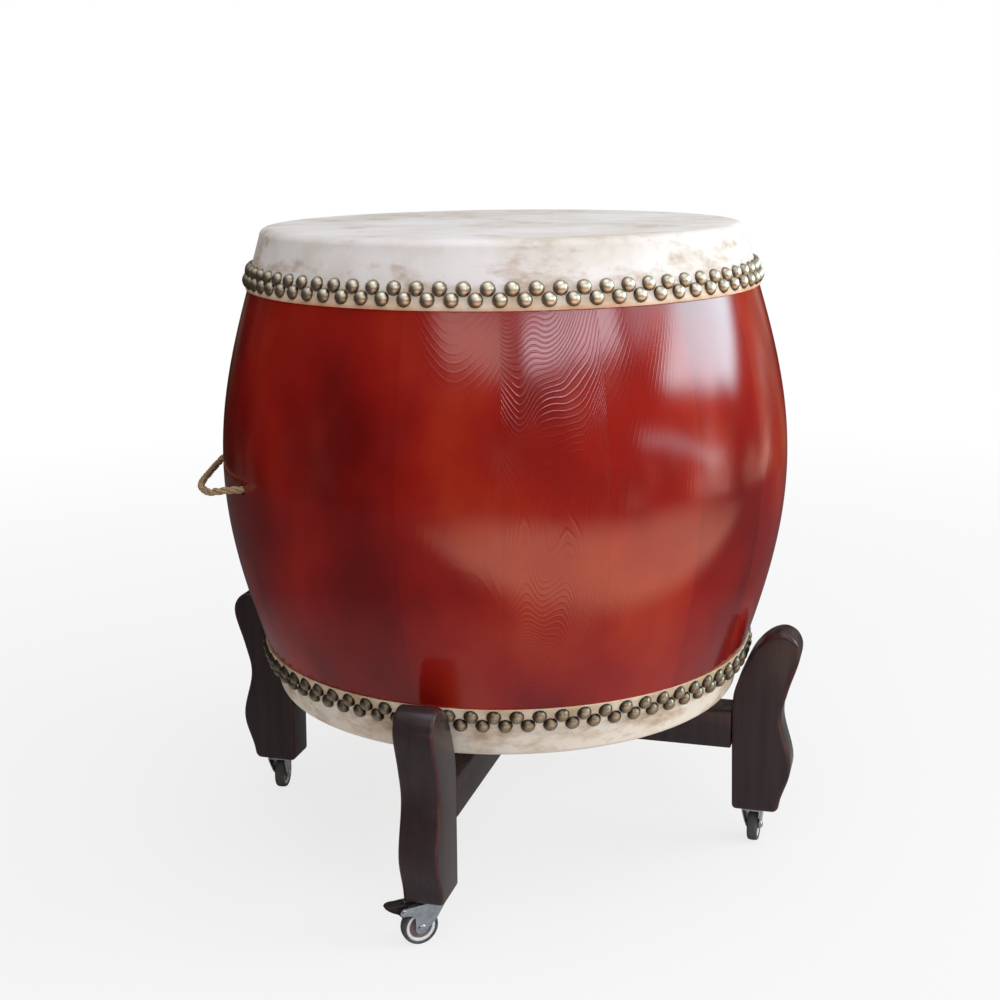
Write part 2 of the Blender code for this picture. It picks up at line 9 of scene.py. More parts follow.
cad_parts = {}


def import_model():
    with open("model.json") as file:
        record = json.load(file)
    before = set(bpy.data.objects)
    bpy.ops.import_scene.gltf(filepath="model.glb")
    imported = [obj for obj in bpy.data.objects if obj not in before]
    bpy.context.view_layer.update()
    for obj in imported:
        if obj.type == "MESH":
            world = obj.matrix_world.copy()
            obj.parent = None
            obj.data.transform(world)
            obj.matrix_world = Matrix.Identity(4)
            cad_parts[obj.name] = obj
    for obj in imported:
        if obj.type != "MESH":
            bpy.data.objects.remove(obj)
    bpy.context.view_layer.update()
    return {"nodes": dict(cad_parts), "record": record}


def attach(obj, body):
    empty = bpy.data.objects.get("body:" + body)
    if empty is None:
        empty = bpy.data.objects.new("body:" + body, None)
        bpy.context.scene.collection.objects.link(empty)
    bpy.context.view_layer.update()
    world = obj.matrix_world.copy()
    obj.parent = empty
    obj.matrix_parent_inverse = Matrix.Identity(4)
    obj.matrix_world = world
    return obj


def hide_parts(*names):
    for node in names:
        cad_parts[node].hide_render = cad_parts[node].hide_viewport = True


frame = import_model()

MM = 0.001

# Heights on the drum are measured from its own base, which the stand holds above the floor
DRUM_BASE = 0.1835
DRUM_HEIGHT = 0.500

# Tacks: a row's depth is measured from its own head's face
TACKS_PER_ROW = 76
TACK_STEP = math.tau / TACKS_PER_ROW
TACK_PHASE = math.radians(3.40)
TACK_RADIUS = 7.35 * MM
TACK_RISE = 6.0 * MM
UPPER_ROWS = (0.0430, 0.0528)
LOWER_ROWS = (0.0372, 0.0470)

# Barrel: boards are counted round the drum from the azimuth of the first joint
END_RADIUS = 0.2514
BELLY_RADIUS = 0.3053
FULLNESS = -0.0184
WALL = 0.018
STAVES = 19
STAVE_PHASE = TACK_PHASE - TACK_STEP / 2
FRONT_BOARD = -4.0
GROWTH_RING = 1.3 * MM

# Hides
HIDE = 0.002
FACE_RADIUS = 0.2445
ROLL = 0.0085
UPPER_SKIRT = 0.0625
LOWER_SKIRT = 0.0550

# Rope handle: three strands of this share of the rope's radius touch each other inside it
HANDLE_AZIMUTH = math.radians(207.0)
HANDLE_HALF = math.radians(19.0)
HANDLE_HEIGHT = 0.248
ROPE_RADIUS = 4.0 * MM
STRAND_SHARE = 0.464
ROPE_LAY = 0.030
HOLE_RADIUS = 5.5 * MM

# Stand: leg heights are measured from the drum's base, caster sizes from the floor and the swivel
LEG_BELOW = 0.135
LEG_HALF = 0.0205
TRAIL = 13.0 * MM
WHEEL_RADIUS = 18.8 * MM
PLATE_TOP = 46.0 * MM
SHEET = 1.4 * MM
CHEEK_SLOPE = math.atan(0.115)
CHEEK_FOOT = (7.4 * MM, 13.5 * MM)
BRAKE_PIN = (31.5 * MM, 40.8 * MM)
LEVER_HALF = 6.8 * MM

# Side, azimuth of the leg, radius of the swivel, heading of the wheel, whether it has a brake
CORNERS = (
    ("right", 0.0, 0.2815, 88.0, False),
    ("front", -90.0, 0.2865, -139.0, True),
    ("left", 180.0, 0.2890, 98.0, False),
    ("back", 90.0, 0.2865, 41.0, True),
)


# ---------------------------------------------------------------- materials

def srgb(hex_colour):
    values = [int(hex_colour[i:i + 2], 16) / 255 for i in (0, 2, 4)]
    return [v / 12.92 if v <= 0.04045 else ((v + 0.055) / 1.055) ** 2.4 for v in values] + [1.0]


def connect(tree, node, sockets):
    """Sets a node's sockets, or links them where the value is another node's output."""
    for key, value in sockets.items():
        if isinstance(value, bpy.types.NodeSocket):
            tree.links.new(value, node.inputs[key])
        else:
            node.inputs[key].default_value = value


def add(tree, kind, *values, out=0, stops=(), **named):
    """Adds a shader node of a kind and gives one output, or all of them for out=None.

    Values fill the sockets in order. A lower-case name is a setting, any other a socket, and stops are
    the places and colours of a ramp.
    """
    node = tree.nodes.new("ShaderNode" + kind)
    for name, value in named.items():
        if name.islower():
            setattr(node, name, value)
    connect(tree, node, dict(enumerate(values)))
    connect(tree, node, {n.replace("_", " "): v for n, v in named.items() if not n.islower()})
    for number, (place, colour) in enumerate(stops):
        if number > 1:
            node.color_ramp.elements.new(1.0)
        node.color_ramp.elements[number].position = place
        node.color_ramp.elements[number].color = srgb(colour)
    return node.outputs if out is None else node.outputs[out]


def new_material(name):
    """A material, its node tree and the place on the object, which every pattern starts from."""
    made = bpy.data.materials.new(name)
    made.use_nodes = True
    return made, made.node_tree, add(made.node_tree, "TexCoord", out="Object")


def dress(made, **sockets):
    """Gives the finish's own shader its values."""
    tree = made.node_tree
    connect(tree, tree.nodes["Principled BSDF"], {n.replace("_", " "): v for n, v in sockets.items()})
    return made


def red_lacquered_wood():
    """Glossy red lacquer brushed on softwood staves.

    The film is deep and even. Each board's growth lines stand up a little under it: nearly straight at
    its sides, and in arches where the barrel's curve cuts across them.
    """
    made, tree, where = new_material("red_lacquered_wood")
    x, y, z = add(tree, "SeparateXYZ", where, out=None)
    turn = add(tree, "Math", y, x, operation="ARCTAN2")
    board = add(tree, "Math", turn, STAVES / math.tau, -STAVE_PHASE * STAVES / math.tau,
                operation="MULTIPLY_ADD")
    number = add(tree, "Math", board, operation="FLOOR")
    share = add(tree, "Math", board, operation="FRACT")
    level = add(tree, "VectorMath", where, (1, 1, 0), operation="MULTIPLY")
    reach = add(tree, "VectorMath", level, operation="LENGTH", out="Value")
    aside = add(tree, "Math", share, -0.5, operation="ADD")
    across = add(tree, "Math", aside, 2 * math.pi * 0.29 / STAVES, operation="MULTIPLY")
    odds = add(tree, "TexWhiteNoise", W=number, noise_dimensions="1D", out="Color")
    first, second, third = add(tree, "SeparateXYZ", odds, out=None)

    # Growth rings round a pith that lies 105 to 145 mm under the face of its board. The front board is
    # sawn flat through the middle of the log, so its lines make arches. The others lie to one side.
    flat = add(tree, "Math", number, FRONT_BOARD, 0.5, operation="COMPARE")
    other = add(tree, "Math", 1.0, flat, operation="SUBTRACT")
    offset = add(tree, "Math", first, 0.16, -0.08, operation="MULTIPLY_ADD")
    beside = add(tree, "Math", flat, -0.018, operation="MULTIPLY")
    pith_side = add(tree, "Math", offset, other, beside, operation="MULTIPLY_ADD")
    deeper = add(tree, "Math", second, other, operation="MULTIPLY")
    pith_depth = add(tree, "Math", deeper, 0.04, 0.105 - BELLY_RADIUS, operation="MULTIPLY_ADD")
    plan = add(tree, "CombineXYZ",
               add(tree, "Math", across, pith_side, operation="SUBTRACT"),
               add(tree, "Math", reach, pith_depth, operation="ADD"),
               add(tree, "Math", z, 0.03, operation="MULTIPLY"))
    ring = add(tree, "VectorMath", plan, operation="LENGTH", out="Value")
    slow = add(tree, "Mapping", where, Scale=(17, 17, 4))
    sway = add(tree, "TexNoise", Vector=slow, W=number, Scale=1.0, Detail=1.2,
               noise_dimensions="4D")
    reaching = add(tree, "Math", flat, 0.026, 0.012, operation="MULTIPLY_ADD")
    swayed = add(tree, "Math", sway, reaching, ring, operation="MULTIPLY_ADD")
    # Lines that run upright lie closer than a picture of this size can show, and are drawn wider apart
    pace = add(tree, "Math", other, -0.45 * math.tau / GROWTH_RING, math.tau / GROWTH_RING,
               operation="MULTIPLY_ADD")
    beat = add(tree, "Math", swayed, pace, operation="MULTIPLY")
    wave = add(tree, "Math", beat, operation="SINE")
    narrow = add(tree, "ValToRGB", wave, stops=[(0.30, "000000"), (0.95, "FFFFFF")])
    faint = add(tree, "Math", third, 0.25, 0.12, operation="MULTIPLY_ADD")
    relief = add(tree, "Math", faint, flat, operation="MAXIMUM")
    line = add(tree, "Math", narrow, relief, operation="MULTIPLY")

    # Film colour: cloudy where it pooled, a little different on each board and darker along the joints.
    # Painted shade darkens it towards -x and towards the bottom, and lightens it a little towards +x
    wide = add(tree, "Mapping", where, Scale=(9, 9, 6))
    cloud = add(tree, "TexNoise", Vector=wide, Scale=1.0, Detail=3.0, Roughness=0.45)
    # Painted shade: the film is darker towards -x and towards the bottom, a little lighter towards +x
    painted_side_shade = add(tree, "MapRange", x, -0.28, 0.05, -0.11, 0.04)
    low = add(tree, "MapRange", z, DRUM_BASE + 0.05, DRUM_BASE + 0.20, -0.08, 0.0)
    deep = add(tree, "Math", painted_side_shade, low, operation="ADD")
    cloud_and_painted_shade = add(tree, "Math", cloud, deep, operation="ADD")
    board_tone_and_painted_shade = add(tree, "Math", third, 0.11, cloud_and_painted_shade, operation="MULTIPLY_ADD")
    film = add(tree, "ValToRGB", board_tone_and_painted_shade, stops=[
        (0.34, "6E100E"), (0.50, "881611"), (0.64, "9A1E14"), (0.80, "AC3219")])
    thin = add(tree, "Math", line, 0.07, operation="MULTIPLY")
    lined = add(tree, "MixRGB", thin, film, srgb("5E0B0C"))
    off_centre = add(tree, "Math", aside, operation="ABSOLUTE")
    by_joint = add(tree, "Math", off_centre, 0.4955, operation="GREATER_THAN")
    shadow = add(tree, "Math", by_joint, 0.12, operation="MULTIPLY")
    jointed = add(tree, "MixRGB", shadow, lined, srgb("4A0808"))

    # Brush marks in the film, about 2.4 mm wide and 110 mm long
    strokes = add(tree, "Mapping", where, Scale=(420, 420, 9))
    fine = add(tree, "TexNoise", Vector=strokes, Scale=1.0, Detail=2.0)
    rise = add(tree, "Math", fine, 0.25, line, operation="MULTIPLY_ADD")
    return dress(made, Base_Color=jointed, Roughness=0.14, IOR=1.52, Specular_IOR_Level=0.5,
                 Normal=add(tree, "Bump", Height=rise, Distance=0.07 * MM))


def rawhide():
    """Limed cowhide, stretched wet and dried: matt greyish white, with brown stains by the tacks."""
    made, tree, where = new_material("rawhide")
    z = add(tree, "SeparateXYZ", where, out="Z")
    # Clouds about 90 mm across, where the skin dried unevenly
    blotch = add(tree, "TexNoise", Vector=where, Scale=11.0, Detail=5.0, Roughness=0.58)
    skin = add(tree, "ValToRGB", blotch, stops=[
        (0.27, "C9BCA6"), (0.40, "E3DCD0"), (0.56, "F1ECE6"), (0.75, "F5F2ED")])
    # The lower skin is the creamier one
    low = add(tree, "MapRange", z, DRUM_BASE + 0.05, DRUM_BASE + 0.12, 0.80, 0.0)
    creamy = add(tree, "MixRGB", low, skin, srgb("F8ECD6"))

    # Stains: strongest at the band that the tacks hold, then fading up the skirt
    from_middle = add(tree, "Math", z, -DRUM_BASE - DRUM_HEIGHT / 2, operation="ADD")
    away = add(tree, "Math", from_middle, operation="ABSOLUTE")
    band = add(tree, "MapRange", away, 0.200, 0.249, 1.0, 0.0)
    flattened = add(tree, "Mapping", where, Scale=(22, 22, 46))
    patch = add(tree, "TexNoise", Vector=flattened, Scale=1.0, Detail=6.0, Roughness=0.62)
    more = add(tree, "Math", low, 0.07, patch, operation="MULTIPLY_ADD")
    spread = add(tree, "Math", band, 0.17, more, operation="MULTIPLY_ADD")
    stained = add(tree, "ValToRGB", spread, stops=[(0.59, "000000"), (0.90, "FFFFFF")])
    brown = add(tree, "MixRGB", stained, creamy, srgb("A87A46"))

    # The cut edge below the tacks has drunk the red lacquer and shines through orange
    aged = add(tree, "MapRange", away, 0.1900, 0.2120, 0.55, 0.0)
    yellowed = add(tree, "MixRGB", aged, brown, srgb("EBD2A6"))
    bled = add(tree, "MapRange", away, 0.1878, 0.1925, 1.3, 0.0)
    edge = add(tree, "Math", bled, patch, operation="MULTIPLY", use_clamp=True)
    warm = add(tree, "MixRGB", edge, yellowed, srgb("CE7F4A"))
    # The pores are finer than a picture of this size can show, and are drawn 2.4 mm apart
    fine = add(tree, "TexNoise", Vector=where, Scale=420.0, Detail=4.0)
    return dress(made, Base_Color=warm, Roughness=0.58, Specular_IOR_Level=0.3,
                 Normal=add(tree, "Bump", Height=fine, Distance=0.25 * MM, Strength=0.6))


def antique_brass():
    """Pressed brass tack heads, aged olive grey: dark round the rim, rubbed brighter on the crown.

    The lower rows are painted darker than the upper ones: painted shade.
    """
    made, tree, where = new_material("antique_brass")
    crown = add(tree, "Attribute", attribute_name="crown", out="Fac")
    # Tarnish in spots of about 5 mm
    patch = add(tree, "TexNoise", Vector=where, Scale=190.0, Detail=3.0)
    z = add(tree, "SeparateXYZ", where, out="Z")
    # Painted shade: the lower tacks are painted darker; rubbed and worn carry this as well as the wear on the
    # crown
    painted_shade_low_rows = add(tree, "MapRange", z, 0.30, 0.60, -0.42, -0.20)
    rubbed = add(tree, "Math", crown, 0.75, painted_shade_low_rows, operation="MULTIPLY_ADD")
    worn = add(tree, "Math", patch, 0.55, rubbed, operation="MULTIPLY_ADD")
    colour = add(tree, "ValToRGB", worn, stops=[
        (0.05, "4A4338"), (0.35, "8B816E"), (0.62, "B5AB97"), (0.90, "D8D0BC")])
    return dress(made, Base_Color=colour, Metallic=1.0, Roughness=0.42)


def twisted_jute():
    """Natural bast rope, three strands laid together: dull and a little hairy."""
    made, tree, where = new_material("twisted_jute")
    # Tufts of fibre about 1.1 mm across
    fibre = add(tree, "TexNoise", Vector=where, Scale=900.0, Detail=3.0)
    colour = add(tree, "ValToRGB", fibre, stops=[(0.34, "6E5236"), (0.50, "A98B64"), (0.66, "CDB48D")])
    return dress(made, Base_Color=colour, Roughness=0.9,
                 Normal=add(tree, "Bump", Height=fibre, Distance=0.4 * MM))


def dark_lacquered_wood():
    """Near-black red lacquer on hardwood planks: satin, rubbed back to red along the worn edges."""
    made, tree, where = new_material("dark_lacquered_wood")
    # Upright grain, 8 mm wide and 110 mm long, with finer lines in it
    upright = add(tree, "Mapping", where, Scale=(120, 120, 9))
    grain = add(tree, "TexNoise", Vector=upright, Scale=1.0, Detail=5.0)
    film = add(tree, "ValToRGB", grain, stops=[(0.30, "2F2728"), (0.70, "3D2F30")])
    rubbed = add(tree, "Attribute", attribute_name="rubbed", out="Fac")
    # The film is worn through in places about 17 mm long
    chafe = add(tree, "TexNoise", Vector=where, Scale=60.0, Detail=4.0)
    through = add(tree, "ValToRGB", chafe, stops=[(0.40, "101010"), (0.66, "A0A0A0")])
    bare = add(tree, "Math", through, rubbed, operation="MULTIPLY")
    colour = add(tree, "MixRGB", bare, film, srgb("742F2E"))
    return dress(made, Base_Color=colour, Roughness=0.27, Specular_IOR_Level=0.30,
                 Normal=add(tree, "Bump", Height=grain, Distance=0.12 * MM))


def bright_zinc():
    """Pressed steel with bright zinc plating: smooth bluish metal with a faint spangle."""
    made, tree, where = new_material("bright_zinc")
    # Spangle about 6 mm across
    cloud = add(tree, "TexNoise", Vector=where, Scale=160.0, Detail=2.0)
    colour = add(tree, "ValToRGB", cloud, stops=[(0.35, "B3BBC4"), (0.65, "C9D0D7")])
    return dress(made, Base_Color=colour, Metallic=1.0, Roughness=0.26)


def moulded(name, low, high, roughness):
    """Moulded plastic or rubber: even colour with a fine surface texture."""
    made, tree, where = new_material(name)
    # A mould's texture is finer than the render shows, and is drawn 1.4 mm apart
    speckle = add(tree, "TexNoise", Vector=where, Scale=700.0, Detail=2.0)
    colour = add(tree, "ValToRGB", speckle, stops=[(0.35, low), (0.65, high)])
    return dress(made, Base_Color=colour, Roughness=roughness,
                 Normal=add(tree, "Bump", Height=speckle, Distance=0.05 * MM))


MATERIALS = {
    "red_lacquer": red_lacquered_wood(), "rawhide": rawhide(), "brass": antique_brass(),
    "jute": twisted_jute(), "dark_lacquer": dark_lacquered_wood(), "zinc_plate": bright_zinc(),
    "white_plastic": moulded("white_nylon", "F0F0EE", "F7F7F5", 0.35),
    "grey_rubber": moulded("grey_rubber", "434443", "585957", 0.75),
    "black_plastic": moulded("black_nylon", "1C1516", "2A2021", 0.42),
}
WHEEL_WEB = moulded("brown_grey_nylon", "6E625F", "82766F", 0.45)


def finish_with(piece, slot):
    piece.data.materials.clear()
    piece.data.materials.append(MATERIALS[slot])
    return piece


# ---------------------------------------------------------------- modelling

def deselect():
    if bpy.context.object and bpy.context.object.mode != "OBJECT":
        bpy.ops.object.mode_set(mode="OBJECT")
    bpy.ops.object.select_all(action="DESELECT")


def ring_stack(name, rings, segments, phase=0.0, closed=False, points=(False, False)):
    """A circle extruded and scaled from ring to ring; its ends are joined, or drawn to a point."""
    deselect()
    bpy.ops.mesh.primitive_circle_add(vertices=segments, radius=rings[0][0], fill_type="NOTHING")
    piece = bpy.context.object
    piece.name = piece.data.name = name
    bpy.ops.object.mode_set(mode="EDIT")
    bpy.ops.mesh.select_all(action="SELECT")
    bpy.ops.transform.translate(value=(0, 0, rings[0][1]))
    if phase:
        bpy.ops.transform.rotate(value=-phase, orient_axis="Z", center_override=(0, 0, 0))
    if points[0]:
        bpy.ops.mesh.edge_face_add()
        bpy.ops.mesh.inset(thickness=rings[0][0] * 0.5)
        bpy.ops.mesh.poke()
        bpy.ops.mesh.select_all(action="DESELECT")
        bpy.ops.mesh.select_non_manifold()
    for (radius, height), (wider, higher) in zip(rings, rings[1:]):
        bpy.ops.mesh.extrude_region_move(TRANSFORM_OT_translate={"value": (0, 0, higher - height)})
        if abs(wider / radius - 1) > 1e-9:
            bpy.ops.transform.resize(value=(wider / radius, wider / radius, 1),
                                     center_override=(0, 0, higher))
    if points[1]:
        bpy.ops.mesh.edge_face_add()
        bpy.ops.mesh.poke()
    if closed:
        bpy.ops.mesh.select_all(action="DESELECT")
        bpy.ops.mesh.select_non_manifold()
        bpy.ops.mesh.bridge_edge_loops()
    bpy.ops.mesh.select_all(action="SELECT")
    bpy.ops.mesh.normals_make_consistent(inside=False)
    bpy.ops.object.mode_set(mode="OBJECT")
    return piece


def smooth(piece, degrees):
    deselect()
    piece.select_set(True)
    bpy.context.view_layer.objects.active = piece
    bpy.ops.object.shade_smooth_by_angle(angle=math.radians(degrees))
    return piece


def cut(piece, tool):
    """Cuts the tool out of the piece and throws the tool away."""
    deselect()
    bpy.context.view_layer.objects.active = piece
    modifier = piece.modifiers.new("cut", "BOOLEAN")
    modifier.object = tool
    modifier.solver = "EXACT"
    bpy.ops.object.modifier_apply(modifier="cut")
    bpy.data.objects.remove(tool, do_unlink=True)
    return piece


def join(name, pieces):
    deselect()
    for piece in pieces:
        piece.select_set(True)
    bpy.context.view_layer.objects.active = pieces[0]
    bpy.ops.object.join()
    pieces[0].name = pieces[0].data.name = name
    return pieces[0]


def put(piece, matrix):
    piece.data.transform(matrix)
    piece.data.update()
    return piece


def outlined(name, outline, half):
    """A flat outline of (x, z) points drawn point by point, filled, and pulled out across Y."""
    deselect()
    bpy.ops.mesh.primitive_plane_add(size=0.01)
    piece = bpy.context.object
    piece.name = piece.data.name = name
    bpy.ops.object.mode_set(mode="EDIT")
    bpy.ops.mesh.merge(type="CENTER")
    bpy.ops.transform.translate(value=(outline[0][0], -half, outline[0][1]))
    for (x, z), (next_x, next_z) in zip(outline, outline[1:]):
        bpy.ops.mesh.extrude_vertices_move(TRANSFORM_OT_translate={"value": (next_x - x, 0, next_z - z)})
    bpy.ops.mesh.select_all(action="SELECT")
    bpy.ops.mesh.edge_face_add()
    bpy.ops.mesh.extrude_region_move(TRANSFORM_OT_translate={"value": (0, 2 * half, 0)})
    bpy.ops.mesh.select_all(action="SELECT")
    bpy.ops.mesh.normals_make_consistent(inside=False)
    bpy.ops.object.mode_set(mode="OBJECT")
    return piece


def slice_off(piece, place, normal):
    """Saws off what lies beyond a plane and closes the cut."""
    deselect()
    piece.select_set(True)
    bpy.context.view_layer.objects.active = piece
    bpy.ops.object.mode_set(mode="EDIT")
    bpy.ops.mesh.select_all(action="SELECT")
    bpy.ops.mesh.bisect(plane_co=place, plane_no=normal, use_fill=True, clear_outer=True)
    bpy.ops.object.mode_set(mode="OBJECT")
    return piece


def round_edges(piece, width, segments, degrees, worn=False):
    """Rounds the edges sharper than an angle, and can mark the rounding as rubbed by hands."""
    deselect()
    bpy.context.view_layer.objects.active = piece
    piece.data.materials.clear()
    for slot in range(2):
        piece.data.materials.append(None)
    modifier = piece.modifiers.new("round", "BEVEL")
    modifier.width = width
    modifier.segments = segments
    modifier.limit_method = "ANGLE"
    modifier.angle_limit = math.radians(degrees)
    modifier.use_clamp_overlap = False
    modifier.material = 1
    bpy.ops.object.modifier_apply(modifier="round")
    mesh = piece.data
    if worn:
        flat = {index for polygon in mesh.polygons if polygon.material_index == 0
                for index in polygon.vertices}
        rubbed = mesh.attributes.new("rubbed", "FLOAT", "POINT")
        for vertex in mesh.vertices:
            rubbed.data[vertex.index].value = 0.0 if vertex.index in flat else 1.0
    for polygon in mesh.polygons:
        polygon.material_index = 0
    return piece


def smooth_points(points, steps):
    """Catmull-Rom curve through the points."""
    ends = [2 * points[0] - points[1]] + points + [2 * points[-1] - points[-2]]
    route = []
    for a, b, c, d in zip(ends, ends[1:], ends[2:], ends[3:]):
        for i in range(steps):
            t = i / steps
            route.append(0.5 * (2 * b + (c - a) * t + (2 * a - 5 * b + 4 * c - d) * t * t
                                + (3 * b - a - 3 * c + d) * t * t * t))
    return route + [points[-1]]


def arc(centre, radius, start, end, steps):
    """Points on a circle in degrees, both ends included."""
    turns = [math.radians(start + (end - start) * i / steps) for i in range(steps + 1)]
    return [(centre[0] + radius * math.cos(a), centre[1] + radius * math.sin(a)) for a in turns]


def copied(piece, name, matrix):
    twin = piece.copy()
    twin.data = piece.data.copy()
    twin.name = twin.data.name = name
    bpy.context.collection.objects.link(twin)
    return put(twin, matrix)


def settle(piece, slot, body, *nodes):
    """Gives a finished piece its material and its body, and takes its nodes' place."""
    finish_with(piece, slot)
    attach(piece, body)
    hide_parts(*nodes)


# ---------------------------------------------------------------- the drum

def barrel_radius(height):
    """Outer radius of the wood at a height above the drum's base."""
    side = 2 * height / DRUM_HEIGHT - 1
    k = 1 - side * side
    return END_RADIUS + (BELLY_RADIUS - END_RADIUS) * k + FULLNESS * k * (1 - k)


def raised(rings):
    return [(radius, DRUM_BASE + height) for radius, height in rings]


def barrel():
    """The lacquered staves as one smooth shell with its inner wall and the rope's two holes."""
    low, high, steps = 0.004, DRUM_HEIGHT - 0.004, 48
    heights = [low + (high - low) * i / steps for i in range(steps + 1)]
    outside = [(barrel_radius(h), h) for h in heights]
    inside = [(barrel_radius(h) - WALL, h) for h in reversed(heights)]
    shell = ring_stack("barrel_shell", raised(outside + inside), 228, closed=True)
    for azimuth in (HANDLE_AZIMUTH + HANDLE_HALF, HANDLE_AZIMUTH - HANDLE_HALF):
        drill = ring_stack("drill", [(HOLE_RADIUS, 0.26), (HOLE_RADIUS, 0.33)], 32, points=(True, True))
        put(drill, Matrix.Translation((0, 0, DRUM_BASE + HANDLE_HEIGHT)) @ Matrix.Rotation(azimuth, 4, "Z")
            @ Matrix.Rotation(math.pi / 2, 4, "Y"))
        cut(shell, drill)
    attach(smooth(finish_with(shell, "red_lacquer"), 40), "drum")
    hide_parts(*["stave_%02d" % (n + 1) for n in range(STAVES)])


def hide(name, skirt, upper):
    """One skin over the barrel's end: flat face, rolled edge, skirt with its cut lower edge."""
    def wood(depth):
        return barrel_radius(DRUM_HEIGHT - depth if upper else depth)
    rings = [(FACE_RADIUS * share, 0.0) for share in (0.02, 0.25, 0.5, 0.75, 0.93, 1.0)]
    rim, turns = wood(ROLL) + HIDE, 7
    for i in range(1, turns + 1):
        angle = math.pi / 2 * i / turns
        rings.append((FACE_RADIUS + (rim - FACE_RADIUS) * math.sin(angle), ROLL * (1 - math.cos(angle))))
    for depth in (0.016, 0.026, 0.036, 0.046, skirt - 0.0004):
        rings.append((wood(depth) + HIDE, depth))
    rings += [(wood(skirt) + HIDE * 0.75, skirt), (wood(skirt) + 0.0002, skirt)]
    rings += [(wood(skirt - 0.01) + 0.0002, skirt - 0.01)]
    if upper:
        rings = [(radius, DRUM_HEIGHT - depth) for radius, depth in rings]
    skin = ring_stack(name + "_hide", raised(rings), 228, points=(True, False))
    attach(smooth(finish_with(skin, "rawhide"), 50), "drum")
    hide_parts(name + "_head")


def tack_row(name, depths, upper):
    """Two staggered rows of domed tacks, each tack a copy of the first."""
    dome = ring_stack("tack", [(TACK_RADIUS * r, TACK_RISE * h) for r, h in (
        (1.0, -0.10), (1.0, 0.06), (0.90, 0.44), (0.62, 0.80), (0.28, 0.97))], 12, points=(False, True))
    smooth(finish_with(dome, "brass"), 60)
    crown = dome.data.attributes.new("crown", "FLOAT", "POINT")
    for vertex, spot in zip(dome.data.vertices, crown.data):
        spot.value = max(0.0, vertex.co.z / TACK_RISE)
    tacks = []
    for number, depth in enumerate(depths):
        height = DRUM_HEIGHT - depth if upper else depth
        phase = TACK_PHASE - (TACK_STEP / 2 if (number == 1) == upper else 0.0)
        lean = math.atan2(barrel_radius(height + 0.01) - barrel_radius(height - 0.01), 0.02)
        for i in range(TACKS_PER_ROW):
            tacks.append(copied(dome, "tack", Matrix.Rotation(phase + i * TACK_STEP, 4, "Z")
                                @ Matrix.Translation((barrel_radius(height) + HIDE, 0.0, DRUM_BASE + height))
                                @ Matrix.Rotation(math.pi / 2 + lean, 4, "Y")))
    bpy.data.objects.remove(dome, do_unlink=True)
    row = join(name + "_tacks", tacks)
    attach(row, "drum")


def rope_route():
    """The handle's centre line from knot to knot: up to 28.5 mm off the wood, and sagging."""
    inside = (barrel_radius(HANDLE_HEIGHT) - WALL) * math.cos(math.pi / STAVES) - 0.9 * MM
    shell = barrel_radius(HANDLE_HEIGHT)
    rise = (0.0114, 0.0218, 0.0285, 0.0281, 0.0223, 0.0160, 0.0133, 0.0177, 0.0116)
    turn = (0.961, 0.906, 0.777, 0.487, 0.168, -0.166, -0.480, -0.796, -0.948)
    fall = (0.0, 0.0010, 0.0036, 0.0048, 0.0064, 0.0072, 0.0076, 0.0122, 0.0054)
    hole = (inside, inside + 0.009, shell + 0.001)
    reach = hole + tuple(shell + height for height in rise) + hole[::-1]
    share = (1.0,) * 3 + turn + (-1.0,) * 3
    droop = (0.0,) * 3 + fall + (0.0,) * 3
    points = []
    for radius, part, sag in zip(reach, share, droop):
        azimuth = HANDLE_AZIMUTH + part * HANDLE_HALF
        points.append(Vector((radius * math.cos(azimuth), radius * math.sin(azimuth),
                              DRUM_BASE + HANDLE_HEIGHT - sag)))
    return smooth_points(points, 6)


def rope_handle():
    """Three strands laid round the handle's centre line."""
    route = rope_route()
    strand_radius = ROPE_RADIUS * STRAND_SHARE
    strands = []
    for number in range(3):
        normal, travelled, places = Vector((0, 0, 1)), 0.0, []
        for i, point in enumerate(route):
            ahead = (route[min(i + 1, len(route) - 1)] - route[max(i - 1, 0)]).normalized()
            normal = (normal - normal.dot(ahead) * ahead).normalized()
            aside = ahead.cross(normal)
            if i:
                travelled += (point - route[i - 1]).length
            turn = math.tau * (number / 3 + travelled / ROPE_LAY)
            places.append(point + (math.cos(turn) * normal + math.sin(turn) * aside)
                          * (ROPE_RADIUS - strand_radius))
        curve = bpy.data.curves.new("strand", "CURVE")
        curve.dimensions = "3D"
        curve.bevel_depth = strand_radius
        curve.bevel_resolution = 3
        curve.use_fill_caps = True
        line = curve.splines.new("POLY")
        line.points.add(len(places) - 1)
        for spot, place in zip(line.points, places):
            spot.co = (*place, 1.0)
        strand = bpy.data.objects.new("strand", curve)
        bpy.context.collection.objects.link(strand)
        strands.append(strand)
    deselect()
    for strand in strands:
        strand.select_set(True)
    bpy.context.view_layer.objects.active = strands[0]
    bpy.ops.object.convert(target="MESH")
    rope = join("rope_handle", strands)
    for polygon in rope.data.polygons:
        polygon.use_smooth = True
    finish_with(rope, "jute")
    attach(rope, "drum")
    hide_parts("handle_rope")


# ---------------------------------------------------------------- the stand

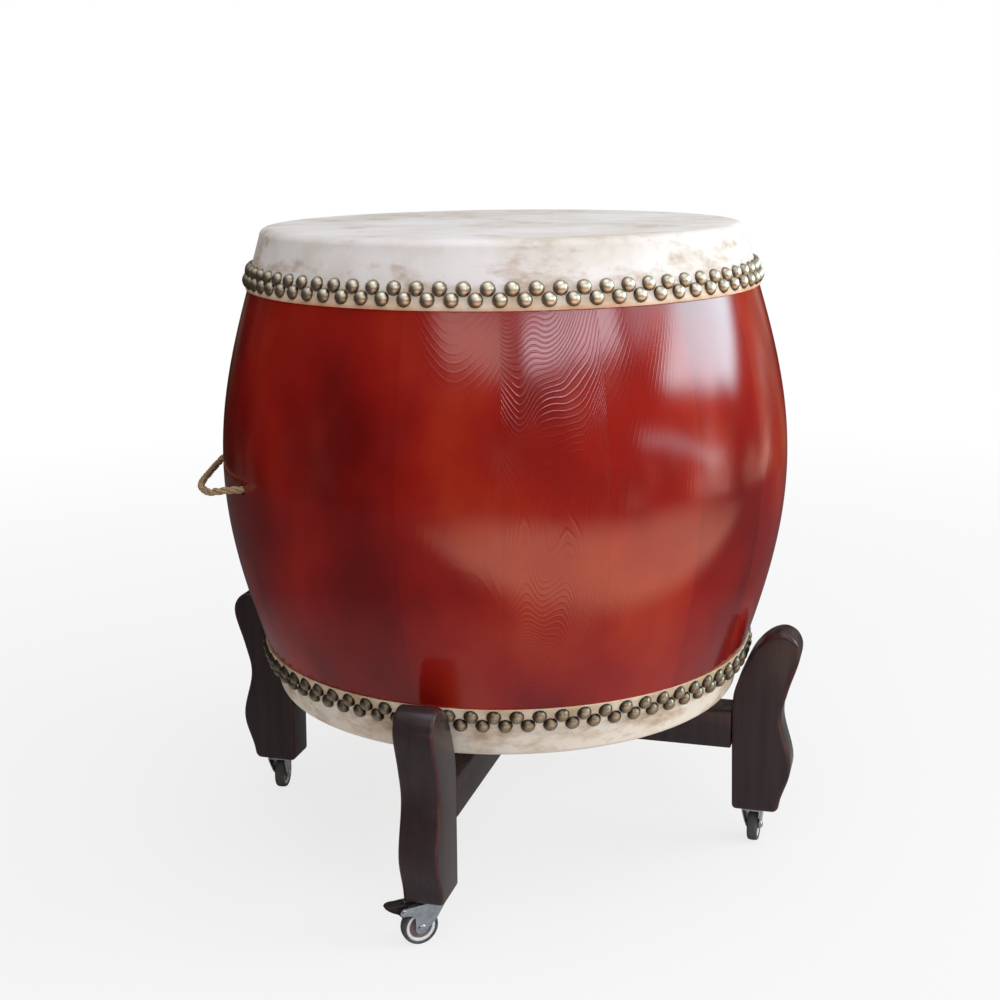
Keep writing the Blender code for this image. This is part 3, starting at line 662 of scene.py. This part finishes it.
def legs():
    """Four sawn plank legs with rounded edges, each a copy of the first."""
    curved = [
        (0.3125, -0.1200), (0.3227, -0.0800), (0.3112, -0.0290), (0.3170, 0.0050),
        (0.3284, 0.0440), (0.3245, 0.0625), (0.3110, 0.0705), (0.2950, 0.0655),
        (0.2800, 0.0500), (0.2690, 0.0280), (0.2600, 0.0030), (0.2575, -0.0180),
    ]
    outline = [(p.x, p.y) for p in smooth_points([Vector(p) for p in curved], 7)]
    outline += arc((0.2650, -LEG_BELOW + 0.005), 0.005, 180, 270, 5)
    outline += arc((0.3035, -LEG_BELOW + 0.0075), 0.0075, 270, 350, 6)
    plank = outlined("leg", [(x, DRUM_BASE + z) for x, z in outline], LEG_HALF)
    smooth(round_edges(plank, 4.0 * MM, 4, 50, worn=True), 40)
    for side, azimuth, _, _, _ in CORNERS:
        leg = copied(plank, side + "_plank_leg", Matrix.Rotation(math.radians(azimuth), 4, "Z"))
        settle(leg, "dark_lacquer", "stand", side + "_leg")
    bpy.data.objects.remove(plank, do_unlink=True)


def beams():
    """The two halved beams, with their long edges eased."""
    for node in ("side_beam", "middle_beam"):
        beam = copied(frame["nodes"][node], node.replace("beam", "rail"), Matrix.Identity(4))
        deselect()
        beam.hide_set(False)
        beam.select_set(True)
        bpy.context.view_layer.objects.active = beam
        bpy.ops.object.mode_set(mode="EDIT")
        bpy.ops.mesh.select_all(action="SELECT")
        bpy.ops.mesh.remove_doubles(threshold=0.00001)
        bpy.ops.mesh.dissolve_limited(angle_limit=math.radians(2))
        bpy.ops.object.mode_set(mode="OBJECT")
        smooth(round_edges(beam, 1.8 * MM, 3, 50, worn=True), 40)
        settle(beam, "dark_lacquer", "stand", node)


def fork(braked):
    """A pressed fork: sheet steel folded over the wheel, with its bends and cut edges rounded."""
    axle_end = arc((TRAIL, WHEEL_RADIUS), 0.0066, 0, -165, 14)
    front = [(-0.0022, 0.0262), (-0.0084, 0.0376), (-0.0107, 0.0424), (-0.0112, 0.0440),
             (-0.0112, PLATE_TOP)]
    if braked:
        rear = arc(BRAKE_PIN, 0.0045, 75, -100, 12) + [
            (0.0262, 0.0358), (0.0240, 0.0350), (0.0218, 0.0336), (0.0203, 0.0313), (0.0196, 0.0260)]
    else:
        rear = [(0.0115, PLATE_TOP), (0.0139, 0.0452), (0.0158, 0.0435), (0.0174, 0.0408),
                (0.0185, 0.0370), (0.0196, 0.0260)]
    shell = outlined("fork", front + rear + axle_end, 0.02)
    under = PLATE_TOP - 2.0 * MM
    hollow = outlined("hollow", [(-0.03, -0.01), (0.05, -0.01), (0.05, 0.06), (0.0165, 0.06),
                                 (0.0165, under - 0.5 * MM), (0.0110, under), (-0.03, under)], 0.02)
    for side in (1, -1):
        normal = (0, side * math.cos(CHEEK_SLOPE), -math.sin(CHEEK_SLOPE))
        slice_off(shell, (0, side * CHEEK_FOOT[0], CHEEK_FOOT[1]), normal)
        slice_off(hollow, (0, side * (CHEEK_FOOT[0] - SHEET), CHEEK_FOOT[1]), normal)
    bends = [edge.index for edge in shell.data.edges
             if all(shell.data.vertices[v].co.z > PLATE_TOP - 1e-5 for v in edge.vertices)
             and shell.data.vertices[edge.vertices[0]].co.y * shell.data.vertices[edge.vertices[1]].co.y > 0]
    deselect()
    bpy.context.view_layer.objects.active = shell
    bpy.ops.object.mode_set(mode="EDIT")
    bpy.ops.mesh.select_all(action="DESELECT")
    bpy.ops.mesh.select_mode(type="EDGE")
    bpy.ops.object.mode_set(mode="OBJECT")
    for number in bends:
        shell.data.edges[number].select = True
    bpy.ops.object.mode_set(mode="EDIT")
    bpy.ops.mesh.bevel(offset=1.6 * MM, segments=4, affect="EDGES")
    bpy.ops.mesh.select_mode(type="VERT")
    bpy.ops.object.mode_set(mode="OBJECT")
    cut(shell, hollow)
    return smooth(round_edges(shell, 0.4 * MM, 2, 35), 40)


def along_y(name, profile, segments, at, **ends):
    """A turned piece whose axis lies along Y, from (radius, y) pairs."""
    piece = ring_stack(name, profile, segments, **ends)
    return put(piece, Matrix.Translation((at[0], 0, at[1])) @ Matrix.Rotation(-math.pi / 2, 4, "X"))


def mirrored(half):
    """A profile from one face to the middle, continued to the other face."""
    return half + [(radius, -y) for radius, y in reversed(half)]


def wheel():
    """A moulded wheel: raised white rim, brown-grey web with its hub, and a crowned grey tyre."""
    axle = (TRAIL, WHEEL_RADIUS)
    rim = along_y("rim", [(r * MM, y * MM) for r, y in mirrored([
        (12.0, -3.6), (12.1, -4.3), (12.6, -4.7), (14.6, -4.7), (15.3, -4.4), (15.6, -3.6)][::-1])],
        48, axle, closed=True)
    web = along_y("web", [(r * MM, y * MM) for r, y in mirrored([
        (2.6, -5.5), (4.9, -5.5), (5.4, -5.1), (5.7, -3.3), (6.4, -2.9), (11.5, -2.9), (12.2, -3.3)][::-1])],
        48, axle, closed=True)
    tyre = along_y("tyre", [(r * MM, y * MM) for r, y in mirrored([
        (15.3, -4.6), (15.6, -5.4), (16.5, -5.75), (17.4, -5.5), (18.1, -4.8), (18.55, -3.4), (18.8, -1.2)])],
        64, axle, closed=True)
    return smooth(rim, 60), smooth(web, 40), smooth(tyre, 60)


def rivet(name, at, shaft, head, seat, tip):
    """A turned pin with a domed head at each end."""
    dome = [(head * math.cos(math.radians(a)), -seat - (tip - seat) * math.sin(math.radians(a)))
            for a in (75, 55, 35, 15, 0)]
    return smooth(along_y(name, mirrored(dome + [(head, -seat + MM), (shaft, -seat + MM)]), 24, at,
                          points=(True, True)), 50)


def lever():
    """A moulded brake pedal: waisted over its pin, with a toe that is round in plan."""
    drop, back = WHEEL_RADIUS - BRAKE_PIN[1], TRAIL - BRAKE_PIN[0]
    cam = math.atan2(drop, back) + math.tau + math.radians(20)
    reach = math.hypot(drop, back) - WHEEL_RADIUS - 0.6 * MM
    lobe = [(reach * math.cos(cam + d), reach * math.sin(cam + d)) for d in (-0.3, -0.15, 0.0, 0.15, 0.3)]
    pad = smooth_points([Vector(p) for p in (
        (0.0050, -0.0028), (0.0110, 0.0004), (0.0160, 0.0036), (0.0176, 0.0054), (0.0164, 0.0069),
        (0.0110, 0.0073), (0.0040, 0.0069))], 4)
    outline = [(p.x, p.y) for p in pad] + arc((-0.0010, 0.0030), 0.0038, 90, 180, 6) + [
        (-0.0044, -0.0010)] + lobe
    pedal = outlined("pedal", outline, LEVER_HALF)
    tip, start = 0.0176, 0.0105
    for vertex in pedal.data.vertices:
        past = max(0.0, (vertex.co.x - start) / (tip - start))
        vertex.co.y *= 0.35 + 0.65 * math.sqrt(max(0.0, 1 - past * past))
    round_edges(pedal, 1.1 * MM, 3, 50)
    return put(smooth(pedal, 40), Matrix.Translation((BRAKE_PIN[0], 0, BRAKE_PIN[1])))


def casters():
    """Four swivelling stem casters from one set of pieces; two carry a brake."""
    forks = {braked: fork(braked) for braked in (False, True)}
    rim, web, tyre = wheel()
    axle = rivet("axle", (TRAIL, WHEEL_RADIUS), 2.2 * MM, 4.2 * MM, 8.4 * MM, 10.0 * MM)
    pin = rivet("pin", BRAKE_PIN, 1.6 * MM, 3.3 * MM, 10.9 * MM, 12.3 * MM)
    pedal = lever()
    stem = smooth(ring_stack("stem", [(r * MM, z * MM) for r, z in (
        (4.5, 42.2), (5.7, 42.7), (6.0, 43.7), (4.0, 43.8), (4.0, 46.3), (8.5, 46.3), (9.0, 46.6),
        (9.0, 47.8), (8.6, 48.2), (4.0, 48.2), (4.0, 73.4))], 40, points=(True, True)), 40)
    for side, azimuth, radius, heading, braked in CORNERS:
        spot = Vector((math.cos(math.radians(azimuth)), math.sin(math.radians(azimuth)), 0)) * radius
        place = Matrix.Translation(spot) @ Matrix.Rotation(math.radians(heading), 4, "Z")
        node, swivel = side + "_caster_", side + "_swivel"
        settle(copied(stem, side + "_stem", place), "zinc_plate", "stand", node + "stem")
        settle(copied(forks[braked], side + "_fork", place), "zinc_plate", swivel, node + "fork")
        settle(copied(axle, side + "_axle", place), "zinc_plate", swivel, node + "axle")
        settle(copied(rim, side + "_rim", place), "white_plastic", side + "_wheel", node + "wheel")
        settle(copied(tyre, side + "_tyre", place), "grey_rubber", side + "_wheel", node + "tyre")
        disc = copied(web, side + "_web", place)
        disc.data.materials.append(WHEEL_WEB)
        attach(disc, side + "_wheel")
        if braked:
            settle(copied(pin, side + "_pin", place), "zinc_plate", swivel, side + "_brake_pin")
            settle(copied(pedal, side + "_pedal", place), "black_plastic", side + "_brake",
                   side + "_brake_lever")
    for master in (rim, web, tyre, axle, pin, pedal, stem, *forks.values()):
        bpy.data.objects.remove(master, do_unlink=True)


barrel()
hide("upper", UPPER_SKIRT, True)
hide("lower", LOWER_SKIRT, False)
tack_row("upper", UPPER_ROWS, True)
tack_row("lower", LOWER_ROWS, False)
rope_handle()
legs()
beams()
casters()

SLOTS = {entry["node"]: entry["material_slot"] for entry in frame["record"]["subparts"]}
for node, shown in frame["nodes"].items():
    finish_with(shown, SLOTS[node])


# ---------------------------------------------------------------- the studio

CURTAIN_RADIUS = 2.2
CURTAIN_HEIGHT = 2.4
PANEL_GLOW = 10.5
LAMPS_AIM = Vector((0, 0, 0.45))

# The camera was fitted to the drum's two ellipses and its outline, in pixels of the photograph
PHOTO_PIXELS = 1000.0
FOCAL_PIXELS = 1520.13
SENSOR = 36.0
EYE_BACK = 1.6365
EYE_ABOVE_BASE = 0.5995
SWING, YAW, PITCH, TILT = math.radians(15.86), -0.0038, 0.2415, -0.0127


def shows_background(tree, mirrored):
    """1 for rays that are seen or passed through, and this share for those that a gloss mirrors."""
    ray = add(tree, "LightPath", out=None)
    passed = add(tree, "Math", ray["Is Glossy Ray"], mirrored, ray["Is Transmission Ray"],
                 operation="MULTIPLY_ADD")
    return add(tree, "Math", ray["Is Camera Ray"], passed, operation="MAXIMUM")


def floor():
    """A pale floor that grows white with distance, and keeps the object's soft shadow."""
    deselect()
    bpy.ops.mesh.primitive_plane_add(size=60.0, location=(0, 0, 0))
    ground = bpy.context.object
    ground.name = "studio_floor"
    made, tree, where = new_material("pale_studio_floor")
    dress(made, Base_Color=srgb("E0DFDD"), Roughness=0.9, Specular_IOR_Level=0.1)
    away = add(tree, "VectorMath", where, operation="LENGTH", out="Value")
    glow = add(tree, "MapRange", away, 0.2, 2.4, 0.76, 1.0)
    share = add(tree, "Math", glow, shows_background(tree, 0.12), operation="MULTIPLY")
    white = add(tree, "Emission", srgb("FFFFFF"), 1.0)
    mixed = add(tree, "MixShader", share, tree.nodes["Principled BSDF"].outputs[0], white)

    # A gloss mirrors it darker, with a long pool of warm light to the right, which gives the lacquer its
    # orange crescent. The pool lights nothing. A ramp reads from 0 to 1, so its 2.5 m are scaled.
    turned = add(tree, "Mapping", where, Rotation=(0, 0, math.radians(41)))
    out, along, _ = add(tree, "SeparateXYZ", turned, out=None)
    scaled = add(tree, "Math", out, 0.4, operation="MULTIPLY")
    band = add(tree, "ValToRGB", scaled, stops=[
        (0.26, "000000"), (0.31, "FFFFFF"), (0.54, "FFFFFF"), (0.80, "101010")])
    from_middle = add(tree, "Math", along, operation="ABSOLUTE")
    ends = add(tree, "MapRange", from_middle, 0.8, 1.7, 2.9, 0.0)
    warmth = add(tree, "Math", band, ends, operation="MULTIPLY")
    pool = add(tree, "Emission", srgb("FFD2B0"), warmth)
    beyond = add(tree, "MapRange", away, 0.36, 0.80, 0.30, 0.85)
    darker = add(tree, "Math", add(tree, "LightPath", out="Is Glossy Ray"), beyond, operation="MULTIPLY")
    tree.links.new(add(tree, "MixShader", darker, mixed, pool),
                   tree.nodes["Material Output"].inputs["Surface"])
    ground.data.materials.append(made)


def curtain():
    """A dark mottled curtain round the studio that only a gloss mirrors: it keeps the lacquer deep.

    It lights nothing. A pale panel on it gives the lacquer the bright block at its upper right.
    """
    deselect()
    bpy.ops.mesh.primitive_cylinder_add(vertices=128, radius=CURTAIN_RADIUS, depth=CURTAIN_HEIGHT,
                                        location=(0, 0, CURTAIN_HEIGHT / 2), end_fill_type="NOTHING")
    cloth = bpy.context.object
    cloth.name = "studio_curtain"
    for kind in ("camera", "diffuse", "transmission", "shadow", "volume_scatter"):
        setattr(cloth, "visible_" + kind, False)
    made, tree, where = new_material("mottled_curtain")
    x, y, height = add(tree, "SeparateXYZ", where, out=None)
    mottle = add(tree, "TexNoise", Vector=where, Scale=1.5, Detail=3.0)
    tone = add(tree, "ValToRGB", mottle, stops=[
        (0.38, "241C1A"), (0.50, "4A3A30"), (0.60, "8A7466"), (0.72, "D2BCAE")])
    right = add(tree, "MapRange", x, -0.6, 2.2, 0.25, 2.6)
    foot = add(tree, "MapRange", height, -1.2, -0.5, 2.0, 0.8)
    dimmed = add(tree, "Math", right, foot, operation="MULTIPLY")
    shade = add(tree, "Emission", tone, dimmed)

    # The panel leans, so that the barrel's curve mirrors it upright, and has a fainter strip under it.
    # A ramp reads from 0 to 1, so the heights and the turns are shifted into it.
    around = add(tree, "Math", y, x, operation="ARCTAN2")
    level = add(tree, "Math", around, 0.48, height, operation="MULTIPLY_ADD")
    ragged = add(tree, "Math", mottle, 0.3, level, operation="MULTIPLY_ADD")
    lifted = add(tree, "Math", ragged, 0.85, operation="ADD")
    panes = add(tree, "ValToRGB", lifted,
                stops=[(0.14, "000000"), (0.21, "8C8C8C"), (0.26, "8C8C8C"), (0.33, "000000"),
                       (0.61, "000000"), (0.76, "FFFFFF")])
    aside = add(tree, "Math", level, -0.47, around, operation="MULTIPLY_ADD")
    shifted = add(tree, "Math", aside, 0.34, operation="ADD")
    sides = add(tree, "ValToRGB", shifted,
                stops=[(0.22, "000000"), (0.32, "FFFFFF"), (0.86, "FFFFFF"), (0.97, "000000")])
    shape = add(tree, "Math", panes, sides, operation="MULTIPLY")
    glow = add(tree, "Math", shape, PANEL_GLOW, operation="MULTIPLY")
    lit = add(tree, "AddShader", shade, add(tree, "Emission", srgb("CFF4FF"), glow))

    # It reaches 1.3 m with an uneven edge, and higher on the left and over the panel
    left = add(tree, "MapRange", x, -0.2, -1.2, -0.07, 0.9)
    edge = add(tree, "Math", mottle, 0.3, left, operation="MULTIPLY_ADD")
    top = add(tree, "Math", sides, 0.3, edge, operation="MULTIPLY_ADD")
    past = add(tree, "Math", height, top, operation="SUBTRACT")
    above = add(tree, "MapRange", past, -0.05, 0.05)
    open_top = add(tree, "MixShader", above, lit, add(tree, "BsdfTransparent"))
    tree.links.new(open_top, tree.nodes["Material Output"].inputs["Surface"])
    cloth.data.materials.append(made)


def soft_box(name, place, size, power, colour="EFF2FF", mirrored=True):
    """A lamp that faces the drum, placed by azimuth in degrees, distance and height."""
    lamp = bpy.data.lights.new(name, "AREA")
    lamp.shape = "RECTANGLE"
    lamp.size, lamp.size_y = size
    lamp.energy = power
    lamp.color = srgb(colour)[:3]
    holder = bpy.data.objects.new(name, lamp)
    bpy.context.collection.objects.link(holder)
    holder.visible_camera = False
    holder.visible_glossy = mirrored
    azimuth, distance, height = place
    turn = math.radians(azimuth)
    spot = Vector((distance * math.cos(turn), distance * math.sin(turn), height))
    holder.location = spot
    holder.rotation_mode = "QUATERNION"
    holder.rotation_quaternion = (LAMPS_AIM - spot).to_track_quat("-Z", "Y")


def world():
    """White where it is seen or mirrored, and a plain dim sky for the light it gives."""
    sky = bpy.data.worlds.new("studio")
    bpy.context.scene.world = sky
    sky.use_nodes = True
    tree = sky.node_tree
    dim = add(tree, "Background", srgb("FFFFFF"), 0.30)
    white = add(tree, "Background", srgb("FFFFFF"), 1.0)
    mixed = add(tree, "MixShader", shows_background(tree, 0.55), dim, white)
    tree.links.new(mixed, tree.nodes["World Output"].inputs["Surface"])


def camera():
    """Looks along the fitted line of sight, from the fitted place."""
    lens = bpy.data.cameras.new("camera")
    lens.sensor_width = SENSOR
    lens.lens = FOCAL_PIXELS * SENSOR / PHOTO_PIXELS
    holder = bpy.data.objects.new("camera", lens)
    bpy.context.collection.objects.link(holder)
    ahead = Vector((math.sin(YAW) * math.cos(PITCH), math.cos(YAW) * math.cos(PITCH), -math.sin(PITCH)))
    right = Vector((math.cos(YAW), -math.sin(YAW), 0.0))
    up = right.cross(ahead)
    across = math.cos(TILT) * right + math.sin(TILT) * up
    above = -math.sin(TILT) * right + math.cos(TILT) * up
    facing = Matrix((across, above, -ahead)).transposed().to_4x4()
    eye = Matrix.Translation((0.0, -EYE_BACK, DRUM_BASE + EYE_ABOVE_BASE))
    holder.matrix_world = Matrix.Rotation(SWING, 4, "Z") @ eye @ facing
    bpy.context.scene.camera = holder


floor()
curtain()
world()
soft_box("left_sky_box", (-92, 3.0, 1.82), (2.2, 0.45), 8, "FFE4DA")
soft_box("middle_sky_box", (-46, 3.0, 1.82), (2.2, 0.45), 25)
soft_box("right_sky_box", (0, 3.0, 1.82), (2.2, 0.45), 9)
soft_box("side_box", (5, 2.1, 1.24), (1.20, 0.50), 18, "FFFFFF", mirrored=False)
soft_box("top_box", (-60, 0.6, 2.9), (2.0, 2.0), 30)
camera()
bpy.context.scene.view_settings.view_transform = "Standard"
